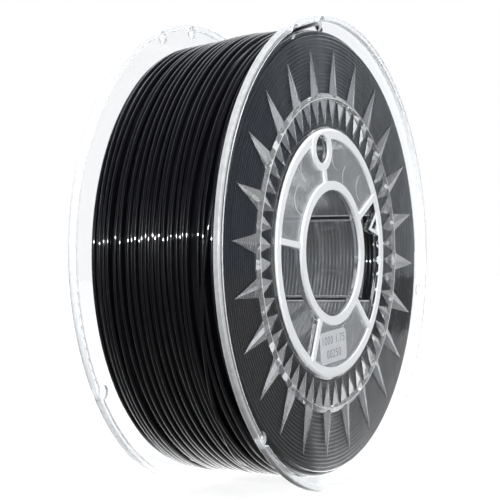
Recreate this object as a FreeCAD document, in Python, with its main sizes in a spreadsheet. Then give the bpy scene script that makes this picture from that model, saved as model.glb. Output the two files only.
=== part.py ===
# Clear two-part filament spool with its wound filament, as a parametric FreeCAD document.
#
# The spool axis is +Y and +Z is up. The origin is the middle of the spool, on its axis. Each clear half is
# built lying flat: its outer face is the plane z = 0, its axis is z and everything lies below that plane.
# The finished half is then stood up, so that the near half's outer face looks along -Y and the far half's
# along +Y. Angles are counted anticlockwise as each half is seen from outside.
import FreeCAD, Part
import Sketcher
import math
import os

doc = FreeCAD.newDocument("filament_spool")

SIZES = [
    ("flange_diameter", 200, "outer diameter of both flanges"),
    ("overall_width", 68, "outer face to outer face"),
    ("flange_thickness", 3.1, "axial thickness at the rim"),
    ("rim_lip", 3, "radial width of the raised rim"),
    ("rim_rounding", 0.8, "radius on the rim's two outer edges"),
    ("lip_rounding", 0.4, "radius on the rim's inner front edge"),
    ("web_recess", 1.9, "depth of the web below the rim's face"),
    ("bore_diameter", 53.2, "hole for the spool holder"),
    ("collar_wall", 3.7, "radial wall of the ring around the bore"),
    ("collar_depth", 3, "axial length of that ring"),
    ("hub_inner_radius", 48, "inside of the hub ring"),
    ("hub_outer_radius", 51.4, "outside of the hub ring at its face"),
    ("hub_foot_radius", 53.2, "outside of the hub ring at the web"),
    ("hub_recess", 0.5, "depth of the hub ring's face below the rim's"),
    ("hub_depth", 3.8, "depth of the hub ring's inner end below the rim's face"),
    ("barrel_radius", 51.6, "outside of the barrel staves, on which the filament is wound"),
    ("barrel_wall", 2.2, "radial thickness of a stave"),
    ("stave_count", 4, "staves on each half"),
    ("stave_gap", 2.3, "gap between neighbouring staves, in degrees"),
    ("near_stave_pitch", 48, "sector of one stave of the near half, in degrees"),
    ("near_stave_middle", 42, "middle of the near half's first stave, in degrees"),
    ("far_stave_middle", 93, "middle of the far half's first stave, in degrees"),
    ("stave_end_gap", 9.5, "distance from a stave's end to the other half's outer face"),
    ("ridge_radius", 65, "top of the ridge that the teeth and the rays start from"),
    ("ridge_outside_radius", 67.1, "outside of that ridge at the web"),
    ("ridge_inside_radius", 64.2, "inside of that ridge at the web"),
    ("ridge_recess", 0.7, "depth of the ridge's top below the rim's face"),
    ("ornament_root", 0.06, "how far the base of a tooth or ray reaches into the web"),
    ("tooth_count", 48, "pointed teeth inside the ridge"),
    ("tooth_tip_radius", 53.4, "where a tooth ends on the web"),
    ("tooth_width", 8, "width of a tooth at its root, on the web"),
    ("tooth_recess", 0.75, "depth of a tooth's crest at its root"),
    ("ray_count", 24, "pointed rays outside the ridge"),
    ("ray_first_angle", 11.5, "direction of the first ray and the first tooth, in degrees"),
    ("ray_tip_radius", 87, "where a ray ends on the web"),
    ("ray_width", 8.8, "width of a ray at its root, on the web"),
    ("ray_recess", 0.8, "depth of a ray's crest at its root"),
    ("spoke_count", 5, "spokes between the collar and the hub ring"),
    ("spoke_first_angle", 30, "direction of the first spoke, in degrees"),
    ("spoke_width", 2.6, "width of a spoke"),
    ("spoke_depth", 3, "axial depth of a spoke"),
    ("panel_recess", 1.2, "depth of the closed sectors' face"),
    ("panel_thickness", 1.3, "thickness of the closed sectors"),
    ("drive_hole_diameter", 12, "round hole beside the bore"),
    ("drive_tube_diameter", 18.2, "ring around that hole"),
    ("drive_hole_circle", 44.4, "distance of that hole from the axis"),
    ("drive_hole_angle", 102.5, "direction of that hole, in degrees"),
    ("mark_diameter", 12, "round ejector pads on the closed sectors"),
    ("mark_height", 0.12, "height of an ejector pad"),
    ("mark_root", 0.2, "how far a pad reaches into its panel"),
    ("wall_overlap", 1, "how far spokes and panels reach into the walls that they join"),
    ("cut_clearance", 1, "how far a hole's cutter stands out of the face"),
    ("clip_hole_diameter", 6, "holes at the rim that hold the free end"),
    ("clip_hole_circle", 96, "distance of those holes from the axis"),
    ("anchor_size", 6.6, "triangular loop for the filament's start, centre to corner"),
    ("anchor_wall", 1.5, "wall of that loop"),
    ("anchor_circle", 45.4, "distance of the loop's centre from the axis"),
    ("anchor_angle", 15, "direction of the loop, in degrees"),
    ("anchor_recess", 1, "depth of the loop's face"),
    ("anchor_depth", 2.8, "axial depth of the loop"),
    ("filament_diameter", 1.75, "filament"),
    ("winding_near_radius", 94, "outside of the winding beside the near flange"),
    ("winding_far_radius", 91, "outside of the winding beside the far flange"),
    ("winding_side_gap", 0.1, "between the winding and each flange"),
    ("winding_rounding", 0.8, "rounding of the winding's outer edges"),
    ("free_end_length", 12, "filament behind the flange past the second clip hole"),
    ("lead_behind", 2.2, "from a clip hole to the free end's bend behind the flange, in degrees"),
    ("lead_in_front", 1.2, "from a clip hole to its bend in front of the web, in degrees"),
    ("start_end_length", 4, "filament that stands in the anchor loop"),
    ("filament_bend", 3, "bends of the threaded free end"),
    ("start_bend", 1.8, "bend of the filament's start"),
    ("start_setback", 1.5, "from the hub ring's inner end to the middle of the filament's start"),
    ("label_length", 25, "sticker"),
    ("label_height", 13.4, "sticker"),
    ("label_corner", 2.4, "sticker's corner radius"),
    ("label_thickness", 0.12, "sticker"),
    ("label_drop", 39.2, "sticker's centre below the axis"),
    ("label_shift", 0.6, "sticker's centre beside the axis"),
    ("label_turn", 5, "sticker's lean, in degrees"),
]

# Directions of the rim's clip holes: three thirds of a turn, and one more beside the first.
NEAR_CLIP_HOLES = {"pair": 95.4, "first": 110.4, "second": 229.2, "third": 349.4}
FAR_CLIP_HOLES = {"pair": 72.3, "first": 87.3, "second": 325.3, "third": 207.3}
# Closed sectors, by the number of the spoke that each starts from.
PANELS = {"upper_right": 0, "upper_left": 1, "bottom": 3}
# Ejector pads: distance from the axis and direction.
MARKS = {
    "one": (43.0, 162.8),
    "two": (35.8, 141.8),
    "three": (41.6, 122.5),
    "four": (41.6, 80.0),
    "five": (35.8, 61.5),
    "six": (41.4, 42.0),
    "seven": (38.5, 291.0),
}

sheet = doc.addObject("Spreadsheet::Sheet", "sizes")
for row, (alias, value, meaning) in enumerate(SIZES, start=1):
    sheet.set(f"A{row}", alias)
    sheet.set(f"B{row}", str(value))
    sheet.set(f"C{row}", meaning)
    sheet.setAlias(f"B{row}", alias)
doc.recompute()


def size(alias):
    """One of the sheet's numbers, for shapes made by code."""
    return float(sheet.get(alias))


def polar(radius, degrees, height=0.0):
    turn = math.radians(degrees)
    return FreeCAD.Vector(radius * math.cos(turn), radius * math.sin(turn), height)


def bind(obj, **expressions):
    """Ties properties to expressions; a double underscore stands for the dot of a nested property."""
    for path, expression in expressions.items():
        obj.setExpression(path.replace("__", "."), expression)
    return obj


def place(obj, base, turn="0"):
    """Puts obj at three expressions, turned about z."""
    x, y, z = base
    bind(obj, Placement__Base__x=x, Placement__Base__y=y, Placement__Base__z=z)
    return bind(obj, Placement__Rotation__Angle=turn)


def cylinder(name, radius, height, base=("0", "0", "0"), sector="360", turn="0"):
    obj = doc.addObject("Part::Cylinder", name)
    bind(obj, Radius=radius, Height=height, Angle=sector)
    return place(obj, base, turn)


def cut(name, base, tool):
    obj = doc.addObject("Part::Cut", name)
    obj.Base = base
    obj.Tool = tool
    return obj


def fuse(name, shapes):
    obj = doc.addObject("Part::MultiFuse", name)
    obj.Shapes = shapes
    return obj


def at(circle, angle, height):
    """Three expressions for the point at that distance and direction from the axis."""
    return f"{circle} * cos({angle})", f"{circle} * sin({angle})", height


def origin_plane(body, role):
    return next(f for f in body.Origin.OriginFeatures if f.Role == role)


def profile(body, name, corners):
    """A closed outline on the body's XZ plane, each corner held by two expressions."""
    sketch = body.newObject("Sketcher::SketchObject", name)
    sketch.AttachmentSupport = (origin_plane(body, "XZ_Plane"), [""])
    sketch.MapMode = "FlatFace"
    count = len(corners)
    start = [polar(50, 360 * i / count) for i in range(count)]
    for i in range(count):
        sketch.addGeometry(Part.LineSegment(start[i], start[(i + 1) % count]), False)
    for i, (across, up) in enumerate(corners):
        sketch.addConstraint(Sketcher.Constraint("Coincident", i, 2, (i + 1) % count, 1))
        for kind, expression in (("DistanceX", across), ("DistanceY", up)):
            held = sketch.addConstraint(Sketcher.Constraint(kind, -1, 1, i, 1, 1.0))
            sketch.setExpression(f"Constraints[{held}]", expression)
    return sketch


def revolved(body, sketch):
    turned = body.newObject("PartDesign::Revolution", sketch.Name + "_turned")
    turned.Profile = sketch
    turned.ReferenceAxis = (sketch, ["V_Axis"])
    turned.Angle = 360
    return turned


def rounded(body, feature, name, radius, circles):
    """Rounds the circular edges of feature that lie at the given (radius, height) pairs."""
    doc.recompute()
    picked = []
    for number, edge in enumerate(feature.Shape.Edges, start=1):
        if not isinstance(edge.Curve, Part.Circle):
            continue
        found = edge.Curve.Radius, edge.Curve.Center.z
        if any(math.dist(found, wanted) < 1e-3 for wanted in circles):
            picked.append(f"Edge{number}")
    obj = body.newObject("PartDesign::Fillet", name)
    obj.Base = (feature, picked)
    return bind(obj, Radius=radius)


def disc(side):
    """Rim, web, ornament ridge and hub ring, turned in one profile."""
    body = doc.addObject("PartDesign::Body", side + "_disc")
    rim, lip = "sizes.flange_diameter / 2", "sizes.flange_diameter / 2 - sizes.rim_lip"
    web, back = "-sizes.web_recess", "-sizes.flange_thickness"
    corners = [
        ("sizes.hub_inner_radius", "-sizes.hub_recess"),
        ("sizes.hub_inner_radius", "-sizes.hub_depth"),
        ("sizes.barrel_radius", "-sizes.hub_depth"),
        ("sizes.barrel_radius", back),
        (rim, back),
        (rim, "0"),
        (lip, "0"),
        (lip, web),
        ("sizes.ridge_outside_radius", web),
        ("sizes.ridge_radius", "-sizes.ridge_recess"),
        ("sizes.ridge_inside_radius", web),
        ("sizes.hub_foot_radius", web),
        ("sizes.hub_outer_radius", "-sizes.hub_recess"),
    ]
    turned = revolved(body, profile(body, side + "_disc_profile", corners))
    radius, thickness = size("flange_diameter") / 2, size("flange_thickness")
    rim_edges = [(radius, 0), (radius, -thickness)]
    outer = rounded(body, turned, side + "_rim_rounding", "sizes.rim_rounding", rim_edges)
    lip_edge = [(radius - size("rim_lip"), 0)]
    rounded(body, outer, side + "_lip_rounding", "sizes.lip_rounding", lip_edge)
    return body


def facet(*points):
    return Part.Face(Part.makePolygon([*points, points[0]]))


def points(side, kind):
    """Pointed pyramids with a crest, from inside the ridge to a tip on the web. Their bases lie in it."""
    web, crest = -size("web_recess"), -size(kind + "_recess")
    root = web - size("ornament_root")
    spread = (crest - root) / (crest - web)
    start, tip = size("ridge_radius"), size(kind + "_tip_radius")
    half_width = size(kind + "_width") / 2 * spread
    reach = start + (tip - start) * spread
    count = int(size(kind + "_count"))
    solids = []
    for number in range(count):
        angle = size("ray_first_angle") + number * 360 / count
        across = polar(half_width, angle + math.copysign(90, tip - start))
        left, right = polar(start, angle, root) + across, polar(start, angle, root) - across
        top, end = polar(start, angle, crest), polar(reach, angle, root)
        sides = [facet(left, right, top), facet(right, end, top), facet(end, left, top)]
        solids.append(Part.Solid(Part.Shell([*sides, facet(left, end, right)])))
    obj = doc.addObject("Part::Feature", f"{side}_{kind}_ring")
    obj.Shape = Part.Compound(solids)
    return obj


def collar(side):
    bore, outside = "sizes.bore_diameter / 2", "sizes.bore_diameter / 2 + sizes.collar_wall"
    base = ("0", "0", "-sizes.collar_depth")
    ring = cylinder(side + "_collar_outside", outside, "sizes.collar_depth", base)
    hole = cylinder(side + "_collar_bore", bore, "sizes.collar_depth", base)
    return cut(side + "_collar", ring, hole)


def spokes(side):
    """Straight ribs from inside the collar's wall to inside the hub ring's wall."""
    made = []
    for number in range(int(size("spoke_count"))):
        spoke = doc.addObject("Part::Box", f"{side}_spoke_{number + 1}")
        length = "sizes.hub_inner_radius - sizes.bore_diameter / 2"
        bind(spoke, Length=length, Width="sizes.spoke_width", Height="sizes.spoke_depth")
        angle = f"(sizes.spoke_first_angle + {number} * 360 / sizes.spoke_count)"
        inner, half = "(sizes.bore_diameter / 2 + sizes.wall_overlap)", "sizes.spoke_width / 2"
        x = f"{inner} * cos({angle}) + {half} * sin({angle})"
        y = f"{inner} * sin({angle}) - {half} * cos({angle})"
        depth = "-sizes.spoke_depth - sizes.hub_recess / 2"
        made.append(place(spoke, (x, y, depth), angle))
    return made


def panels(side):
    """Thin closed sectors between the collar and the hub ring."""
    made = []
    base = ("0", "0", "-sizes.panel_recess - sizes.panel_thickness")
    for name, spoke in PANELS.items():
        start = f"sizes.spoke_first_angle + {spoke} * 360 / sizes.spoke_count"
        plate = cylinder(
            f"{side}_panel_{name}_plate",
            "sizes.hub_inner_radius + sizes.wall_overlap",
            "sizes.panel_thickness",
            base,
            "360 / sizes.spoke_count",
            start,
        )
        inside = "sizes.bore_diameter / 2 + sizes.wall_overlap"
        middle = cylinder(f"{side}_panel_{name}_middle", inside, "sizes.panel_thickness", base)
        made.append(cut(f"{side}_panel_{name}", plate, middle))
    return made


def marks(side):
    made = []
    for name, (circle, angle) in MARKS.items():
        radius = "sizes.mark_diameter / 2"
        base = at(circle, angle, "-sizes.panel_recess - sizes.mark_root")
        made.append(cylinder(f"{side}_mark_{name}", radius, "sizes.mark_height + sizes.mark_root", base))
    return made


def drive_ring(side):
    """The ring around the drive hole, kept inside the hub ring."""
    centre = at("sizes.drive_hole_circle", "sizes.drive_hole_angle", "-sizes.spoke_depth")
    height = "sizes.spoke_depth - sizes.hub_recess / 2"
    full = cylinder(side + "_drive_ring_full", "sizes.drive_tube_diameter / 2", height, centre)
    base = ("0", "0", "-sizes.spoke_depth")
    limit = cylinder(side + "_drive_ring_limit", "sizes.hub_outer_radius", "sizes.spoke_depth", base)
    obj = doc.addObject("Part::Common", side + "_drive_ring")
    obj.Base = full
    obj.Tool = limit
    return obj


def anchor(side):
    """The triangular loop that holds the start of the filament, with its corner towards the axis."""
    centre = at("sizes.anchor_circle", "sizes.anchor_angle", "-sizes.anchor_recess - sizes.anchor_depth")
    loops = []
    corners = {"outside": "sizes.anchor_size", "inside": "sizes.anchor_size - 2 * sizes.anchor_wall"}
    for name, corner in corners.items():
        loop = doc.addObject("Part::Prism", f"{side}_anchor_{name}")
        loop.Polygon = 3
        bind(loop, Circumradius=corner, Height="sizes.anchor_depth")
        loops.append(place(loop, centre, "sizes.anchor_angle + 180"))
    return cut(side + "_anchor", *loops)


def staves(side, middle, pitch):
    """The half's share of the barrel: staves that reach almost to the other flange, beside the other's."""
    made = []
    length = "sizes.overall_width - sizes.stave_end_gap - sizes.flange_thickness"
    base = ("0", "0", f"-sizes.flange_thickness - ({length})")
    for number in range(int(size("stave_count"))):
        sector = f"{pitch} - sizes.stave_gap"
        turn = f"{middle} + {number} * 360 / sizes.stave_count - ({sector}) / 2"
        name = f"{side}_stave_{number + 1}"
        outside = cylinder(name + "_outside", "sizes.barrel_radius", length, base, sector, turn)
        inside = cylinder(name + "_inside", "sizes.barrel_radius - sizes.barrel_wall", length, base)
        made.append(cut(name, outside, inside))
    return made


def holes(side, clip_holes):
    """Everything that goes right through the flange outside the bore, and no deeper than the hub ring."""
    through = "sizes.hub_depth + sizes.cut_clearance"
    centre = at("sizes.drive_hole_circle", "sizes.drive_hole_angle", "-sizes.hub_depth")
    made = [cylinder(side + "_drive_hole", "sizes.drive_hole_diameter / 2", through, centre)]
    for name, angle in clip_holes.items():
        centre = at("sizes.clip_hole_circle", angle, "-sizes.hub_depth")
        radius = "sizes.clip_hole_diameter / 2"
        made.append(cylinder(f"{side}_clip_hole_{name}", radius, through, centre))
    return fuse(side + "_holes", made)


def half(side, middle, pitch, clip_holes, rotation, offset):
    """One clear moulding, stood up on the spool's axis."""
    teeth, rays = points(side, "tooth"), points(side, "ray")
    body = [disc(side), teeth, rays, collar(side), drive_ring(side), anchor(side)]
    body += spokes(side) + panels(side) + marks(side) + staves(side, middle, pitch)
    moulding = cut(side + "_moulding", fuse(side + "_solid", body), holes(side, clip_holes))
    moulding.Label = side + "_spool_half"
    moulding.Placement = FreeCAD.Placement(FreeCAD.Vector(), rotation)
    return bind(moulding, Placement__Base__y=offset)


def winding():
    """The wound filament as one closed ring on the barrel, a little fuller beside the near flange."""
    body = doc.addObject("PartDesign::Body", "winding")
    edge = size("overall_width") / 2 - size("flange_thickness") - size("winding_side_gap")
    half_width = "(sizes.overall_width / 2 - sizes.flange_thickness - sizes.winding_side_gap)"
    corners = [
        ("sizes.barrel_radius", half_width),
        ("sizes.barrel_radius", "-" + half_width),
        ("sizes.winding_far_radius", "-" + half_width),
        ("sizes.winding_near_radius", half_width),
    ]
    turned = revolved(body, profile(body, "winding_profile", corners))
    circles = [(size("winding_near_radius"), edge), (size("winding_far_radius"), -edge)]
    rounded(body, turned, "winding_edges", "sizes.winding_rounding", circles)
    body.Label = "filament_winding"
    body.Placement = FreeCAD.Placement(FreeCAD.Vector(), FreeCAD.Rotation(FreeCAD.Vector(1, 0, 0), 90))
    return body


def strand(name, points, bend):
    """A round filament along straight runs joined by arcs of one radius."""
    edges, start = [], points[0]
    for before, corner, after in zip(points, points[1:], points[2:]):
        into, out = (corner - before).normalize(), (after - corner).normalize()
        turn = into.getAngle(out)
        trim = bend * math.tan(turn / 2)
        first, last = corner - into * trim, corner + out * trim
        bisector = (out - into).normalize()
        middle = corner + bisector * (bend / math.cos(turn / 2) - bend)
        edges += [Part.LineSegment(start, first).toShape(), Part.Arc(first, middle, last).toShape()]
        start = last
    edges.append(Part.LineSegment(start, points[-1]).toShape())
    path = Part.Wire(edges)
    ring = Part.Circle(points[0], (points[1] - points[0]).normalize(), size("filament_diameter") / 2)
    obj = doc.addObject("Part::Feature", name)
    obj.Label = name
    obj.Shape = path.makePipeShell([Part.Wire([ring.toShape()])], True, True)
    area = math.pi * size("filament_diameter") ** 2 / 4
    print(f"{name}: volume {obj.Shape.Volume:.1f}, section by length {area * path.Length:.1f}")
    return obj


def upright(radius, degrees, depth):
    """A point of the near half: distance and direction from the axis, depth behind the rim's face."""
    flat = polar(radius, degrees)
    return FreeCAD.Vector(flat.x, depth - size("overall_width") / 2, flat.y)


def free_end():
    """From the winding out through one clip hole, along the web's front and back in through the next hole."""
    circle, radius = size("clip_hole_circle"), size("filament_diameter") / 2
    behind = size("flange_thickness") + size("winding_side_gap") + radius
    front = size("web_recess") - radius
    first, second = NEAR_CLIP_HOLES["first"], NEAR_CLIP_HOLES["pair"]
    step = math.degrees(size("free_end_length") / circle)
    points = [
        upright(circle - radius, first + step, behind + radius),
        upright(circle, first + size("lead_behind"), behind),
        upright(circle, first - size("lead_in_front"), front),
        upright(circle, second + size("lead_in_front"), front),
        upright(circle, second - size("lead_behind"), behind),
        upright(circle - radius, second - step, behind + radius),
    ]
    return strand("filament_free_end", points, size("filament_bend"))


def start_end():
    """From under the winding inwards past the hub ring, then out through the anchor loop."""
    circle, angle = size("anchor_circle"), size("anchor_angle")
    depth = size("hub_depth") + size("start_setback")
    points = [
        upright(size("barrel_radius"), angle, depth),
        upright(circle, angle, depth),
        upright(circle, angle, depth - size("start_end_length")),
    ]
    return strand("filament_start_end", points, size("start_bend"))


def label():
    """The rounded sticker on the near half's bottom panel."""
    box = doc.addObject("Part::Box", "label_plate")
    bind(box, Length="sizes.label_length", Width="sizes.label_thickness", Height="sizes.label_height")
    corners = doc.addObject("Part::Fillet", "label_corners")
    corners.Base = box
    doc.recompute()
    upright_edges = []
    for number, edge in enumerate(box.Shape.Edges, start=1):
        if abs(edge.Length - size("label_thickness")) < 1e-6:
            upright_edges.append((number, size("label_corner"), size("label_corner")))
    corners.Edges = upright_edges
    turn = FreeCAD.Rotation(FreeCAD.Vector(0, -1, 0), size("label_turn"))
    middle = FreeCAD.Vector(size("label_length") / 2, size("label_thickness") / 2, size("label_height") / 2)
    face = size("panel_recess") - size("mark_height") - size("label_thickness") / 2
    centre = FreeCAD.Vector(size("label_shift"), face - size("overall_width") / 2, -size("label_drop"))
    corners.Placement = FreeCAD.Placement(centre - turn.multVec(middle), turn)
    corners.Label = "label"
    return corners


standing = FreeCAD.Rotation(FreeCAD.Vector(1, 0, 0), 90)
half_turn = FreeCAD.Rotation(FreeCAD.Vector(0, 0, 1), 180)
near = half(
    "near",
    "sizes.near_stave_middle",
    "sizes.near_stave_pitch",
    NEAR_CLIP_HOLES,
    standing,
    "-sizes.overall_width / 2",
)
far = half(
    "far",
    "sizes.far_stave_middle",
    "(360 / sizes.stave_count - sizes.near_stave_pitch)",
    FAR_CLIP_HOLES,
    half_turn * standing,
    "sizes.overall_width / 2",
)
pieces = [near, far, winding(), free_end(), start_end(), label()]

doc.recompute()
for obj in doc.Objects:
    if "Invalid" in obj.State or "Error" in obj.State:
        raise RuntimeError(f"{obj.Label} failed: {obj.State}")
os.makedirs("parts", exist_ok=True)
for piece in pieces:
    shape = piece.Shape
    if shape.isNull() or not shape.isValid():
        raise RuntimeError(f"{piece.Label} has no valid shape")
for piece in pieces:
    shape = piece.Shape
    volume = shape.Volume / 1000
    print(f"{piece.Label}: {len(shape.Solids)} solid, {len(shape.Faces)} faces, {volume:.2f} cm3")
    shape.exportStep(f"parts/{piece.Label}.step")
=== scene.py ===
"""Looks of a clear two-part filament spool wound with black filament.

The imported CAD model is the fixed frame, in metres: the spool's axis is Y, the near flange with the label
faces -Y and +Z is up. The clear halves keep their CAD meshes. The winding, its free end and the label's print
are modelled here. Angles are counted from +X towards +Z.
"""

import math

import bpy
import numpy as np
from mathutils import Matrix, Vector

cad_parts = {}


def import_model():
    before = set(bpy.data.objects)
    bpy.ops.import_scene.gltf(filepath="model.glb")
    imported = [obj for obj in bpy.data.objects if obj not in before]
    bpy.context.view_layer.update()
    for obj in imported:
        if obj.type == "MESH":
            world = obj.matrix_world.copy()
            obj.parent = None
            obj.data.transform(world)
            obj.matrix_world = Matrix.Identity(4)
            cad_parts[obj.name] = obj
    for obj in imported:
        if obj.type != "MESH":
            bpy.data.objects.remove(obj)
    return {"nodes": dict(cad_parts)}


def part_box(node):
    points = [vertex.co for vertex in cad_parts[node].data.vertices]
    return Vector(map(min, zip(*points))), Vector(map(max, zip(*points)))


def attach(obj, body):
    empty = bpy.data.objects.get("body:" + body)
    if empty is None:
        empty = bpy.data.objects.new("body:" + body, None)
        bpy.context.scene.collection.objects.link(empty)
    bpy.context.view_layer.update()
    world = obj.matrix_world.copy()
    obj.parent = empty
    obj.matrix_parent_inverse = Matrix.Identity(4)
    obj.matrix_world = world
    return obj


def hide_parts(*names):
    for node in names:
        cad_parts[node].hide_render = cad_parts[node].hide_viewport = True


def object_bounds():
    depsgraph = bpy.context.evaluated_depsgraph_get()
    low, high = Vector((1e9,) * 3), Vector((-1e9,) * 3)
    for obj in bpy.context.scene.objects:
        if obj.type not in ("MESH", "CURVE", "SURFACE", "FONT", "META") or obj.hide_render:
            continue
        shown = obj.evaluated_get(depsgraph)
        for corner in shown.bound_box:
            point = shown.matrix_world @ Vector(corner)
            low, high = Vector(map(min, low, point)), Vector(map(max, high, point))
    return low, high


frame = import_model()
cad_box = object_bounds()

MM = 0.001

# The clear halves. Faces are given by their distance from the spool's middle, along the axis.
FLANGE_RADIUS = 100 * MM
HALF_WIDTH = 34 * MM
RIM_LIP = 3 * MM
HUB_EDGE = 53.3 * MM
PANEL_FACE = HALF_WIDTH - 1.2 * MM
WEB_FACE = HALF_WIDTH - 1.9 * MM
BARREL_RADIUS = 51.6 * MM
BARREL_END = 29 * MM
STAVE_GAPS = (18.0, 66.0)
STAVE_GAP = 2.3

# The two clip holes that hold the free end: distance from the axis and directions, in degrees.
CLIP_CIRCLE = 96 * MM
CLIP_HOLE_REACH = 3.1 * MM
CLIP_FIRST = 110.4
CLIP_SECOND = 95.4

FILAMENT_RADIUS = 0.875 * MM
WINDING_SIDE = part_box("filament_winding")[1].y


def around(degrees, elevation, distance):
    """A place at that direction from the spool's middle, in degrees from +X towards +Y."""
    turn, rise = math.radians(degrees), math.radians(elevation)
    flat = distance * math.cos(rise)
    return flat * math.cos(turn), flat * math.sin(turn), distance * math.sin(rise)


# ---------------------------------------------------------------- node helpers


def blank_material(name):
    made = bpy.data.materials.new(name)
    made.use_nodes = True
    made.node_tree.nodes.clear()
    return made, made.node_tree


def node(tree, kind, inputs=None, **settings):
    """Adds a node. Each input is a socket to link or a value to set."""
    made = tree.nodes.new(kind)
    for key, value in settings.items():
        setattr(made, key, value)
    for key, value in (inputs or {}).items():
        if isinstance(value, bpy.types.NodeSocket):
            tree.links.new(value, made.inputs[key])
        else:
            made.inputs[key].default_value = value
    return made


def math_node(tree, operation, *values, clamp=False):
    inputs = dict(enumerate(values))
    return node(tree, "ShaderNodeMath", inputs, operation=operation, use_clamp=clamp).outputs[0]


def ramp(tree, value, low, high, at_low=0.0, at_high=1.0):
    """at_low below low, at_high above high, smooth between."""
    inputs = {"Value": value, "From Min": low, "From Max": high, "To Min": at_low, "To Max": at_high}
    return node(tree, "ShaderNodeMapRange", inputs, interpolation_type="SMOOTHSTEP").outputs["Result"]


def band(tree, value, low, high, blur):
    """1 between low and high, 0 outside, with soft ends."""
    rise = ramp(tree, value, low - blur, low + blur)
    fall = ramp(tree, value, high - blur, high + blur, 1.0, 0.0)
    return math_node(tree, "MULTIPLY", rise, fall)


def noise(tree, vector, scale, detail):
    inputs = {"Vector": vector, "Scale": scale, "Detail": detail}
    return node(tree, "ShaderNodeTexNoise", inputs).outputs["Fac"]


def object_place(tree):
    """The place on the piece, in metres."""
    return node(tree, "ShaderNodeTexCoord").outputs["Object"]


def coordinates(tree, vector):
    """X, Y and Z of a vector."""
    parts = node(tree, "ShaderNodeSeparateXYZ", {0: vector}).outputs
    return parts["X"], parts["Y"], parts["Z"]


def surface_y(tree):
    """How far the surface looks along the spool's axis, from -1 to 1."""
    facing = node(tree, "ShaderNodeTexCoord").outputs["Normal"]
    return coordinates(tree, facing)[1]


def from_axis(tree, across, up):
    """Distance from an axis, from the two coordinates across it."""
    squares = [math_node(tree, "POWER", value, 2.0) for value in (across, up)]
    return math_node(tree, "SQRT", math_node(tree, "ADD", *squares))


def direction(tree, across, up):
    """Direction of a place or ray about an axis, in degrees, from the two coordinates across it."""
    return math_node(tree, "DEGREES", math_node(tree, "ARCTAN2", up, across))


def two_tone(tree, factor, first, second):
    """A colour between two colours."""
    inputs = {"Factor": factor, "A": (*first, 1), "B": (*second, 1)}
    return node(tree, "ShaderNodeMix", inputs, data_type="RGBA").outputs["Result"]


def bump(tree, height, distance, strength):
    inputs = {"Height": height, "Distance": distance, "Strength": strength}
    return node(tree, "ShaderNodeBump", inputs).outputs["Normal"]


def finish_surface(tree, shader):
    node(tree, "ShaderNodeOutputMaterial", {"Surface": shader.outputs[0]})


# ---------------------------------------------------------------- materials


def stave_edges(tree, x, z):
    """1 along the long edges of the barrel's staves. The gaps between them repeat every quarter turn."""
    folded = math_node(tree, "FLOORED_MODULO", direction(tree, x, z), 90.0)
    total = None
    for middle in STAVE_GAPS:
        beside = math_node(tree, "ABSOLUTE", math_node(tree, "SUBTRACT", folded, middle))
        edge = band(tree, beside, STAVE_GAP / 2 - 0.02, STAVE_GAP / 2 + 0.28, 0.04)
        total = edge if total is None else math_node(tree, "ADD", total, edge)
    return total


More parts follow.
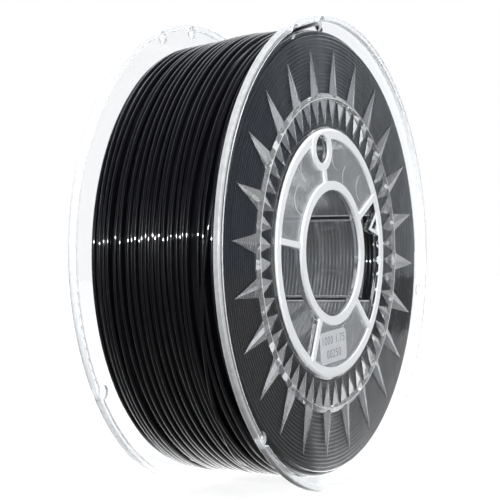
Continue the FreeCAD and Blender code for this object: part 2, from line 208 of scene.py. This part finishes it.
def frosting(tree, place):
    """How frosted the clear plastic is, from 0 to 1, by the feature that the place belongs to."""
    x, y, z = coordinates(tree, place)
    radius = from_axis(tree, x, z)
    depth = math_node(tree, "ABSOLUTE", y)
    patchy = ramp(tree, noise(tree, place, 420.0, 3.0), 0.3, 0.7, 0.85, 1.0)
    inside_hub = ramp(tree, radius, HUB_EDGE - 0.2 * MM, HUB_EDGE + 0.2 * MM, 1.0, 0.0)
    raised = ramp(tree, depth, PANEL_FACE + 0.13 * MM, PANEL_FACE + 0.17 * MM)
    white_faces = math_node(tree, "MULTIPLY", inside_hub, raised)
    panel_faces = band(tree, depth, PANEL_FACE - 0.1 * MM, PANEL_FACE + 0.15 * MM, 0.01 * MM)
    panels = math_node(tree, "MULTIPLY", inside_hub, panel_faces)
    pad_edges = band(tree, depth, PANEL_FACE + 0.02 * MM, PANEL_FACE + 0.1 * MM, 0.01 * MM)
    pads = math_node(tree, "MULTIPLY", inside_hub, pad_edges)
    beyond_hub = math_node(tree, "SUBTRACT", 1.0, inside_hub)
    not_rim = ramp(tree, radius, 90 * MM, 91 * MM, 1.0, 0.0)
    web = math_node(tree, "MULTIPLY", beyond_hub, not_rim)
    points = ramp(tree, depth, WEB_FACE + 0.005 * MM, WEB_FACE + 0.04 * MM)
    crests = ramp(tree, depth, WEB_FACE + 0.95 * MM, WEB_FACE + 1.2 * MM)
    ornament = math_node(tree, "MULTIPLY", web, points)
    ridge = math_node(tree, "MULTIPLY", web, crests)
    side = ramp(tree, radius, FLANGE_RADIUS - 0.9 * MM, FLANGE_RADIUS - 0.5 * MM)
    lip_edge = FLANGE_RADIUS - RIM_LIP
    lip = ramp(tree, radius, lip_edge - 0.1 * MM, lip_edge + 0.1 * MM)
    behind_hub = ramp(tree, depth, BARREL_END, BARREL_END + 1 * MM, 1.0, 0.0)
    barrel = math_node(tree, "MULTIPLY", inside_hub, behind_hub)
    stave_ends = math_node(tree, "MULTIPLY", barrel, stave_edges(tree, x, z))
    facing_out = math_node(tree, "ABSOLUTE", surface_y(tree))
    hole_walls = ramp(tree, facing_out, 0.3, 0.5, 1.0, 0.0)
    hole_ring = band(tree, radius, CLIP_CIRCLE - CLIP_HOLE_REACH, CLIP_CIRCLE + CLIP_HOLE_REACH, 0.05 * MM)
    holes = math_node(tree, "MULTIPLY", hole_walls, hole_ring)
    amounts = (
        (panels, 0.23),
        (pads, 0.8),
        (ornament, 0.2),
        (ridge, 0.45),
        (holes, 0.5),
        (lip, 0.2),
        (side, 0.35),
        (barrel, 0.045),
        (stave_ends, 0.3),
    )
    total = math_node(tree, "MULTIPLY", white_faces, 0.92)
    for mask, amount in amounts:
        share = math_node(tree, "MULTIPLY", math_node(tree, "MULTIPLY", mask, amount), patchy)
        total = math_node(tree, "ADD", total, share)
    return math_node(tree, "MINIMUM", total, 0.96)


def clear_polystyrene():
    """Clear plastic: polished where it is plain, frosted on raised faces, the ornament and the rim's side."""
    made, tree = blank_material("clear_polystyrene")
    place = object_place(tree)
    frost = frosting(tree, place)
    flow = noise(tree, place, 90.0, 3.0)
    scuffs = noise(tree, place, 900.0, 4.0)
    polished = ramp(tree, scuffs, 0.35, 0.75, 0.005, 0.03)
    roughness = math_node(tree, "ADD", polished, math_node(tree, "MULTIPLY", frost, 0.3))
    normal = bump(tree, flow, 0.0006, 0.08)
    plastic = node(
        tree,
        "ShaderNodeBsdfPrincipled",
        {
            "Base Color": (0.955, 0.97, 0.985, 1),
            "Roughness": roughness,
            "IOR": 1.58,
            "Transmission Weight": math_node(tree, "SUBTRACT", 1.0, frost),
            "Normal": normal,
        },
    )
    open_way = node(tree, "ShaderNodeBsdfTransparent", {"Color": (0.94, 0.95, 0.96, 1)})
    shadow_ray = node(tree, "ShaderNodeLightPath").outputs["Is Shadow Ray"]
    mixed = node(tree, "ShaderNodeMixShader", {0: shadow_ray, 1: plastic.outputs[0], 2: open_way.outputs[0]})
    finish_surface(tree, mixed)
    return made


def black_filament():
    """Extruded plastic: a soft base under a glossy skin, with slight changes of gloss."""
    made, tree = blank_material("black_filament")
    place = object_place(tree)
    cloud = noise(tree, place, 260.0, 3.0)
    grain = noise(tree, place, 2600.0, 2.0)
    plastic = node(
        tree,
        "ShaderNodeBsdfPrincipled",
        {
            "Base Color": two_tone(tree, cloud, (0.0014, 0.0013, 0.0022), (0.003, 0.0028, 0.0042)),
            "Roughness": ramp(tree, cloud, 0.3, 0.7, 0.28, 0.34),
            "IOR": 1.5,
            "Specular IOR Level": 0.18,
            "Coat Weight": 1.0,
            "Coat Roughness": 0.03,
            "Normal": bump(tree, grain, 0.00002, 0.3),
        },
    )
    finish_surface(tree, plastic)
    return made


def label_paper():
    """Matte coated paper with a fine tooth."""
    made, tree = blank_material("label_paper")
    place = object_place(tree)
    tooth = noise(tree, place, 3000.0, 4.0)
    cloud = noise(tree, place, 180.0, 2.0)
    paper = node(
        tree,
        "ShaderNodeBsdfPrincipled",
        {
            "Base Color": two_tone(tree, cloud, (0.60, 0.61, 0.64), (0.68, 0.69, 0.71)),
            "Roughness": ramp(tree, tooth, 0.3, 0.7, 0.5, 0.7),
            "Normal": bump(tree, tooth, 0.00003, 0.5),
        },
    )
    finish_surface(tree, paper)
    return made


def label_ink():
    """Thermal print: dark grey, thinner in places."""
    made, tree = blank_material("label_ink")
    speck = noise(tree, object_place(tree), 2400.0, 3.0)
    ink = node(
        tree,
        "ShaderNodeBsdfPrincipled",
        {
            "Base Color": two_tone(tree, speck, (0.03, 0.03, 0.035), (0.10, 0.10, 0.11)),
            "Roughness": ramp(tree, speck, 0.3, 0.7, 0.5, 0.65),
            "Normal": bump(tree, speck, 0.00001, 0.3),
        },
    )
    finish_surface(tree, ink)
    return made


# What the spool reflects: a white backdrop behind it, and dim everywhere else. The backdrop fades in and out
# between these directions, in degrees, and fades out between these heights, as the sine of the elevation.
BACKDROP_AZIMUTH = 27.6
BACKDROP_STRENGTH = 1.3
BACKDROP_FADE_IN = (-29.0, -12.0)
BACKDROP_FADE_OUT = (60.0, 115.0)
BACKDROP_TOP = (0.6, 0.85)
DIM_STRENGTH = 0.12
# How much brighter than the backdrop the floor right behind and under the spool is in reflections.
CLOSE_FLOOR = 2.1
# Added to white surfaces behind clear plastic, which would look grey through it.
THROUGH_PLASTIC = 0.15


def seen_directly(tree):
    """Two masks: rays that come straight from the camera or through clear plastic, and only the latter."""
    path = node(tree, "ShaderNodeLightPath")
    straight = math_node(tree, "LESS_THAN", path.outputs["Glossy Depth"], 0.5)
    through = math_node(tree, "MULTIPLY", path.outputs["Is Transmission Ray"], straight)
    return math_node(tree, "ADD", path.outputs["Is Camera Ray"], through, clamp=True), through


def floor_white():
    """White sheet that joins the backdrop.

    The spool reflects it brightly behind and even more so close by, and dimly before and beside it.
    """
    made, tree = blank_material("floor_white")
    x, y, _ = coordinates(tree, object_place(tree))
    back_x, back_y, _ = around(BACKDROP_AZIMUTH, 0, 1)
    along = [math_node(tree, "MULTIPLY", value, share) for value, share in ((x, back_x), (y, back_y))]
    behind = math_node(tree, "ADD", *along)
    away = from_axis(tree, x, y)
    far = math_node(tree, "MAXIMUM", math_node(tree, "SUBTRACT", away, 0.15), 0.0)
    past = math_node(tree, "SUBTRACT", behind, math_node(tree, "MULTIPLY", far, 0.7))
    beyond = ramp(tree, past, -45 * MM, -5 * MM)
    from_near_flange = math_node(tree, "ADD", y, HALF_WIDTH + 4 * MM)
    beside = ramp(tree, direction(tree, x, from_near_flange), -32.0, -8.0)
    close = ramp(tree, away, 0.08, 0.14, CLOSE_FLOOR * BACKDROP_STRENGTH, BACKDROP_STRENGTH)
    reflected = math_node(tree, "MULTIPLY", math_node(tree, "MULTIPLY", beyond, beside), close)
    reflected = math_node(tree, "MAXIMUM", reflected, DIM_STRENGTH)
    seen, through = seen_directly(tree)
    whiter = math_node(tree, "MULTIPLY", through, THROUGH_PLASTIC)
    direct = math_node(tree, "ADD", whiter, ramp(tree, away, 0.12, 0.4, 0.84, 1.0))
    strength = node(tree, "ShaderNodeMix", {"Factor": seen, "A": reflected, "B": direct}).outputs["Result"]
    glow = node(tree, "ShaderNodeEmission", {"Color": (1, 1, 1, 1), "Strength": strength})
    tone = math_node(tree, "MULTIPLY", seen, 0.25)
    paint = node(tree, "ShaderNodeBsdfDiffuse", {"Color": tone, "Roughness": 0.5})
    sheet = node(tree, "ShaderNodeAddShader", {0: glow.outputs[0], 1: paint.outputs[0]})
    shine = node(tree, "ShaderNodeBsdfGlossy", {"Color": (1, 1, 1, 1), "Roughness": 0.03})
    gloss = math_node(tree, "MULTIPLY", seen, 0.06)
    mixed = node(tree, "ShaderNodeMixShader", {0: gloss, 1: sheet.outputs[0], 2: shine.outputs[0]})
    finish_surface(tree, mixed)
    return made


# ---------------------------------------------------------------- mesh helpers


def mesh_object(name, vertices, faces, material, smooth=True):
    mesh = bpy.data.meshes.new(name)
    mesh.from_pydata([tuple(v) for v in vertices], [], faces)
    mesh.validate()
    mesh.polygons.foreach_set("use_smooth", [smooth] * len(mesh.polygons))
    mesh.materials.append(material)
    made = bpy.data.objects.new(name, mesh)
    bpy.context.scene.collection.objects.link(made)
    return made


def grid_faces(rows, columns, wrap_rows=False):
    """Quads of a grid whose columns always wrap, row by row."""
    faces = []
    for i in range(rows if wrap_rows else rows - 1):
        a, b = i * columns, ((i + 1) % rows) * columns
        for j in range(columns):
            k = (j + 1) % columns
            faces.append((a + j, a + k, b + k, b + j))
    return faces


def filament_strand(name, centres, material):
    """A round strand of filament, closed at both ends, along centres that lie close together."""
    centres = np.asarray(centres, float)
    ahead = np.gradient(centres, axis=0)
    ahead /= np.linalg.norm(ahead, axis=1)[:, None]
    outward = centres * np.array([1.0, 0.0, 1.0])
    across = np.cross(ahead, outward)
    across /= np.linalg.norm(across, axis=1)[:, None]
    up = np.cross(across, ahead)
    rings = []
    for j in range(STRAND_SIDES):
        turn = 2 * math.pi * j / STRAND_SIDES
        rings.append(centres + FILAMENT_RADIUS * (math.cos(turn) * up + math.sin(turn) * across))
    vertices = np.stack(rings, axis=1).reshape(-1, 3)
    faces = grid_faces(len(centres), STRAND_SIDES)
    last = (len(centres) - 1) * STRAND_SIDES
    faces.append(tuple(range(STRAND_SIDES)))
    faces.append(tuple(reversed(range(last, last + STRAND_SIDES))))
    return mesh_object(name, vertices, faces, material)


def on_cylinder(radius, turn, y):
    """Points at those distances from the axis, angles in radians and places along the axis."""
    return np.stack([radius * np.cos(turn), y, radius * np.sin(turn)], axis=-1)


# ---------------------------------------------------------------- winding

TURN_SAMPLES = 120
STRAND_SIDES = 20
TOP_LAYER_TURNS = 21
UNDER_LAYER_TURNS = 34.3
# How much deeper each layer lies than the one over it, and how far a strand's small kinks stand out.
LAYER_STEP = 1.5 * MM
KINK = 0.035 * MM

# Outside of the winding, in mm: place along the axis and radius, from the near flange to the far one.
WINDING_OUTLINE = (
    (-31, 93.2),
    (-22, 94.2),
    (-8, 94.1),
    (0, 93.4),
    (10, 92.3),
    (20, 91.6),
    (27, 90.9),
    (31, 88.6),
)

# The wound ring under the two outer layers. Its strands are cut off just short of their full half width, and
# each sinks in by its own amount, mostly less than CORE_SINK.
CORE_SAMPLES = 180
CORE_LAYERS = 25
CORE_SINK = 0.22 * MM
STRAND_STEPS = 5
GROOVE_REACH = 0.96

# How far the winding hangs out near the far flange, and in which direction.
SAG = 1.6 * MM
SAG_DIRECTION = math.radians(235)


def sag(y, turn):
    """How far the winding hangs out at that place: low down, away from the label's side."""
    return SAG * np.clip(np.asarray(y) / (20 * MM), 0, 1) * np.cos(turn - SAG_DIRECTION)


def outline(y):
    """Outside of the winding where it doesn't sag: fuller near the label's side."""
    places, radii = zip(*WINDING_OUTLINE)
    return np.interp(np.asarray(y) / MM, places, radii) * MM


def winding_radius(y, turn):
    """Outside of the winding at a place along the axis and an angle."""
    return outline(y) + sag(y, turn)


def smooth_random(rng, turn, waves, lowest, highest):
    """A value that wanders smoothly along the angle, mostly between -1 and 1.

    It adds up that many waves. Each repeats between lowest and highest times in a full turn.
    """
    total = np.zeros_like(turn)
    for _ in range(waves):
        total += np.sin(rng.uniform(lowest, highest) * turn + rng.uniform(0, 2 * math.pi))
    return total / math.sqrt(waves)


def spread(places, samples, closest, rounds=60):
    """Pushes neighbouring turns apart until they no longer overlap."""
    for _ in range(rounds):
        gap = places[samples:] - places[:-samples]
        push = np.clip(closest - gap, 0, None) / 2
        places[:-samples] -= push
        places[samples:] += push
    return places


def layer(name, depth, turns, first, last, wander, ripple, seed, material):
    """One layer of the winding: a single strand that goes round and round from first to last."""
    rng = np.random.default_rng(seed)
    turn = np.arange(int(turns * TURN_SAMPLES) + 1) * 2 * math.pi / TURN_SAMPLES
    along = first + (last - first) * turn / turn[-1]
    along = along + wander * smooth_random(rng, turn, 7, 0.35, 2.2)
    along = spread(along, TURN_SAMPLES, 2 * FILAMENT_RADIUS)
    along = np.clip(along, -WINDING_SIDE + FILAMENT_RADIUS, WINDING_SIDE - FILAMENT_RADIUS)
    out = winding_radius(along, turn) - FILAMENT_RADIUS - depth
    out = out + ripple * smooth_random(rng, turn, 5, 0.4, 3.0)
    out = out + KINK * smooth_random(rng, turn, 6, 9.0, 24.0)
    return filament_strand(name, on_cylinder(out, turn, along), material)


def strand_steps(strands, backwards=False):
    """Steps across a row of strands: the strand, the place along the row in strands, and the depth there."""
    for strand in reversed(range(strands)) if backwards else range(strands):
        for step in range(STRAND_STEPS):
            across = (step / STRAND_STEPS) * 2 - 1
            if backwards:
                across = -across
            depth = FILAMENT_RADIUS * (1 - math.sqrt(1 - (GROOVE_REACH * across) ** 2))
            yield strand, strand + (across + 1) / 2, depth


def ring_profile():
    """Outline of the wound ring's section, as radius, y, side and strand. Its outside shows no strands."""
    points = []
    inner_count = int(WINDING_SIDE / FILAMENT_RADIUS)
    inner_pitch = 2 * WINDING_SIDE / inner_count
    for strand, place, depth in strand_steps(inner_count):
        points.append((BARREL_RADIUS + depth, -WINDING_SIDE + place * inner_pitch, "inner", strand))
    far_pitch = (outline(WINDING_SIDE) - LAYER_STEP - BARREL_RADIUS) / CORE_LAYERS
    for strand, place, depth in strand_steps(CORE_LAYERS):
        points.append((BARREL_RADIUS + place * far_pitch, WINDING_SIDE - depth, "far", strand))
    for step in range(9):
        y = (WINDING_SIDE - FILAMENT_RADIUS) * (1 - step / 4)
        points.append((outline(y) - LAYER_STEP - FILAMENT_RADIUS, y, "outer", 0))
    near_pitch = (outline(-WINDING_SIDE) - LAYER_STEP - BARREL_RADIUS) / CORE_LAYERS
    for strand, place, depth in strand_steps(CORE_LAYERS, backwards=True):
        points.append((BARREL_RADIUS + place * near_pitch, -WINDING_SIDE + depth, "near", strand))
    return points


def core(material):
    """Everything under the outer layers, as one ring whose inside and sides show its strands."""
    rng = np.random.default_rng(11)
    turn = np.arange(CORE_SAMPLES) * 2 * math.pi / CORE_SAMPLES
    shifts = {}
    rows = []
    thickness = outline(0.0) - BARREL_RADIUS
    for radius, y, side, strand in ring_profile():
        key = (side, strand)
        if key not in shifts:
            wave = np.zeros(CORE_SAMPLES)
            for harmonic in (1, 2, 3, 5):
                height = rng.uniform(0.2, 1.0)
                start = rng.uniform(0, 2 * math.pi)
                wave += height * np.sin(harmonic * turn + start) / harmonic
            shifts[key] = wave, rng.uniform(0, 1)
        wave, sink = shifts[key]
        deep = np.clip(CORE_SINK * (1 + wave) * sink, 0, None)
        out = radius + sag(y, turn) * (radius - BARREL_RADIUS) / thickness
        along = np.full(CORE_SAMPLES, y)
        if side == "inner":
            out = out + deep
        elif side == "far":
            along = along - deep
        elif side == "near":
            along = along + deep
        rows.append(on_cylinder(out, turn, along))
    faces = grid_faces(len(rows), CORE_SAMPLES, wrap_rows=True)
    return mesh_object("filament_core", np.concatenate(rows), faces, material)


def free_end(material):
    """The free end: from the outer turns, across to the near flange and through two clip holes."""
    inside = -HALF_WIDTH + 4.1 * MM
    front = -HALF_WIDTH + 1.0 * MM
    lift = 1.6 * MM
    # Direction in degrees, height above the winding's outside, and place along the axis.
    crossing = (
        (262, -0.8 * MM, -5.5 * MM),
        (250, 0.2 * MM, -8.5 * MM),
        (236, lift, -11.5 * MM),
        (215, lift, -16.5 * MM),
        (195, lift, -21.0 * MM),
        (178, lift, -24.7 * MM),
        (160, lift, -27.6 * MM),
        (142, 0.8 * MM, -29.2 * MM),
    )
    route = []
    for degrees, above, y in crossing:
        route.append((degrees, winding_radius(y, math.radians(degrees)) - FILAMENT_RADIUS + above, y))
    route += [
        (126, CLIP_CIRCLE - 1.5 * MM, inside),
        (CLIP_FIRST + 4, CLIP_CIRCLE, inside),
        (CLIP_FIRST, CLIP_CIRCLE, (inside + front) / 2),
        (CLIP_FIRST - 3, CLIP_CIRCLE, front),
        (CLIP_SECOND + 3, CLIP_CIRCLE, front),
        (CLIP_SECOND, CLIP_CIRCLE, (inside + front) / 2),
        (CLIP_SECOND - 2, CLIP_CIRCLE - 0.8 * MM, inside),
        (CLIP_SECOND - 3.5, CLIP_CIRCLE - 2.4 * MM, inside + 0.4 * MM),
    ]
    curve = bpy.data.curves.new("filament_free_end_route", "CURVE")
    curve.dimensions = "3D"
    spline = curve.splines.new("NURBS")
    spline.points.add(len(route) - 1)
    for point, (degrees, radius, y) in zip(spline.points, route):
        place = on_cylinder(radius, math.radians(degrees), y)
        point.co = (*place, 1)
    spline.order_u = 3
    spline.use_endpoint_u = True
    spline.resolution_u = 10
    curve.bevel_depth = FILAMENT_RADIUS
    curve.bevel_resolution = 3
    curve.use_fill_caps = True
    holder = bpy.data.objects.new("filament_free_end_route", curve)
    mesh = bpy.data.meshes.new_from_object(holder)
    bpy.data.objects.remove(holder)
    mesh.polygons.foreach_set("use_smooth", [True] * len(mesh.polygons))
    mesh.materials.clear()
    mesh.materials.append(material)
    made = bpy.data.objects.new("filament_last_turn", mesh)
    bpy.context.scene.collection.objects.link(made)
    return made


# ---------------------------------------------------------------- label

LABEL_CENTRE = Vector((0.6 * MM, 0, -39.2 * MM))
LABEL_TURN = math.radians(5)
# The two printed lines, and the height of each one's middle above the sticker's middle.
LABEL_LINES = (("1000 1.75", 1.9 * MM), ("00250", -3.9 * MM))
TEXT_SIZE = 5.0 * MM
TEXT_SPACING = 1.12
BASELINE_DROP = 0.6 * MM
STROKE_THINNING = 0.07 * MM
PRINT_THICKNESS = 0.01 * MM


def label_print(material):
    """Two lines of plain numbers on the sticker: grams and millimetres, and a batch count."""
    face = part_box("label")[0].y
    lines = []
    for text, height in LABEL_LINES:
        curve = bpy.data.curves.new("print", "FONT")
        curve.body = text
        curve.size = TEXT_SIZE
        curve.offset = -STROKE_THINNING
        curve.extrude = PRINT_THICKNESS
        curve.align_x = "CENTER"
        curve.space_character = TEXT_SPACING
        holder = bpy.data.objects.new("print", curve)
        mesh = bpy.data.meshes.new_from_object(holder)
        bpy.data.objects.remove(holder)
        mesh.transform(Matrix.Translation((0, height - BASELINE_DROP, 0)))
        lines.append(mesh)
    stand = Matrix.Rotation(math.pi / 2, 4, "X")
    lean = Matrix.Rotation(-LABEL_TURN, 4, "Y")
    place = Matrix.Translation(Vector((LABEL_CENTRE.x, face, LABEL_CENTRE.z)))
    vertices, faces = [], []
    for mesh in lines:
        mesh.transform(place @ lean @ stand)
        start = len(vertices)
        vertices += [v.co.copy() for v in mesh.vertices]
        faces += [tuple(start + i for i in polygon.vertices) for polygon in mesh.polygons]
    return mesh_object("label_print", vertices, faces, material, smooth=False)


# ---------------------------------------------------------------- stage


FLOOR_RADIUS = 6.0
FLOOR_RINGS = 12
FLOOR_SPOKES = 64


def floor(material):
    """A round table top under the spool, whose edge is out of sight."""
    rings, spokes = FLOOR_RINGS, FLOOR_SPOKES
    height = cad_box[0][2]
    vertices = [(0, 0, height)]
    for ring in range(1, rings + 1):
        radius = FLOOR_RADIUS * (ring / rings) ** 2
        for spoke in range(spokes):
            turn = 2 * math.pi * spoke / spokes
            vertices.append((radius * math.cos(turn), radius * math.sin(turn), height))
    faces = [(0, 1 + j, 1 + (j + 1) % spokes) for j in range(spokes)]
    for ring in range(rings - 1):
        a, b = 1 + ring * spokes, 1 + (ring + 1) * spokes
        for j in range(spokes):
            k = (j + 1) % spokes
            faces.append((a + j, b + j, b + k, a + k))
    return mesh_object("floor", vertices, faces, material)


def softbox(name, place, target, width, height, strength, reflected=False):
    """A soft rectangular lamp, out of the camera's sight. Strength is its brightness."""
    data = bpy.data.lights.new(name, "AREA")
    data.shape = "RECTANGLE"
    data.size = width
    data.size_y = height
    data.energy = strength * math.pi * width * height
    lamp = bpy.data.objects.new(name, data)
    lamp.location = place
    lamp.rotation_euler = (Vector(target) - Vector(place)).to_track_quat("-Z", "Y").to_euler()
    lamp.visible_camera = False
    lamp.visible_glossy = reflected
    bpy.context.scene.collection.objects.link(lamp)
    return lamp


def world():
    """White surround for what is seen directly or through clear plastic, and a studio for reflections."""
    made = bpy.data.worlds.new("studio")
    made.use_nodes = True
    tree = made.node_tree
    tree.nodes.clear()
    seen, through = seen_directly(tree)
    x, y, z = coordinates(tree, node(tree, "ShaderNodeTexCoord").outputs["Generated"])
    turn = direction(tree, x, y)
    right = ramp(tree, turn, *BACKDROP_FADE_IN)
    left = ramp(tree, turn, *BACKDROP_FADE_OUT, 1.0, 0.0)
    low = ramp(tree, z, *BACKDROP_TOP, 1.0, 0.0)
    backdrop = math_node(tree, "MULTIPLY", math_node(tree, "MULTIPLY", right, left), low)
    dim_inputs = {"Color": (0.72, 0.82, 1.0, 1), "Strength": DIM_STRENGTH}
    dim = node(tree, "ShaderNodeBackground", dim_inputs)
    white_inputs = {"Color": (0.95, 0.975, 1.0, 1), "Strength": BACKDROP_STRENGTH}
    white = node(tree, "ShaderNodeBackground", white_inputs)
    studio = node(tree, "ShaderNodeMixShader", {0: backdrop, 1: dim.outputs[0], 2: white.outputs[0]})
    brightness = math_node(tree, "ADD", math_node(tree, "MULTIPLY", through, THROUGH_PLASTIC), 1.0)
    surround = node(tree, "ShaderNodeBackground", {"Color": (1, 1, 1, 1), "Strength": brightness})
    mixed = node(tree, "ShaderNodeMixShader", {0: seen, 1: studio.outputs[0], 2: surround.outputs[0]})
    node(tree, "ShaderNodeOutputWorld", {"Surface": mixed.outputs[0]})
    bpy.context.scene.world = made


# Directions in degrees: the azimuth is counted from the near flange's front towards +X.
CAMERA_AZIMUTH = -62.41
CAMERA_ELEVATION = 0.124
CAMERA_ROLL = -0.568
CAMERA_DISTANCE = 0.8589
CAMERA_LENS = 144.5
CAMERA_SHIFT = (-0.025, 0.0073)


def camera():
    a, e, roll = (math.radians(v) for v in (CAMERA_AZIMUTH, CAMERA_ELEVATION, CAMERA_ROLL))
    back = Vector((math.sin(a) * math.cos(e), -math.cos(a) * math.cos(e), math.sin(e)))
    right = (-back).cross(Vector((0, 0, 1))).normalized()
    up = right.cross(-back)
    side = right * math.cos(roll) + up * math.sin(roll)
    top = up * math.cos(roll) - right * math.sin(roll)
    data = bpy.data.cameras.new("camera")
    data.lens = CAMERA_LENS
    data.shift_x, data.shift_y = CAMERA_SHIFT
    data.clip_start = 0.01
    made = bpy.data.objects.new("camera", data)
    turn = Matrix((side, top, back)).transposed().to_4x4()
    made.matrix_world = Matrix.Translation(back * CAMERA_DISTANCE) @ turn
    bpy.context.scene.collection.objects.link(made)
    bpy.context.scene.camera = made


# ---------------------------------------------------------------- scene


def dress(name, material):
    """Gives a CAD node its material."""
    mesh = frame["nodes"][name].data
    mesh.materials.clear()
    mesh.materials.append(material)


clear = clear_polystyrene()
black = black_filament()
dress("near_spool_half", clear)
dress("far_spool_half", clear)
dress("filament_start_end", black)
dress("label", label_paper())

wound = core(black)
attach(wound, "root")
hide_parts("filament_winding")

inner_edge = WINDING_SIDE - FILAMENT_RADIUS
under = layer(
    "filament_under_layer",
    depth=LAYER_STEP,
    turns=UNDER_LAYER_TURNS,
    first=inner_edge,
    last=-inner_edge,
    wander=0.15 * MM,
    ripple=0.05 * MM,
    seed=3,
    material=black,
)
top = layer(
    "filament_top_layer",
    depth=0.0,
    turns=TOP_LAYER_TURNS,
    first=-inner_edge,
    last=inner_edge,
    wander=1.2 * MM,
    ripple=0.08 * MM,
    seed=5,
    material=black,
)
last_turn = free_end(black)
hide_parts("filament_free_end")
for piece in (under, top, last_turn):
    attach(piece, "root")

lettering = label_print(label_ink())
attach(lettering, "root")

table = floor(floor_white())

world()
softbox("overhead", (0, 0, 1.0), (0, 0, 0), 1.6, 1.6, 1.8)
softbox("front_fill", around(228, 38, 1.6), (0, 0, 0), 1.0, 1.0, 6.0)
softbox("sparkle_lamp", around(208, 7.4, 1.5), (0, 0, 0), 0.24, 0.022, 650.0, reflected=True)
camera()

scene = bpy.context.scene
scene.view_settings.view_transform = "Standard"
scene.cycles.max_bounces = 24
scene.cycles.transmission_bounces = 20
scene.cycles.transparent_max_bounces = 24
scene.cycles.glossy_bounces = 6
scene.cycles.caustics_reflective = False
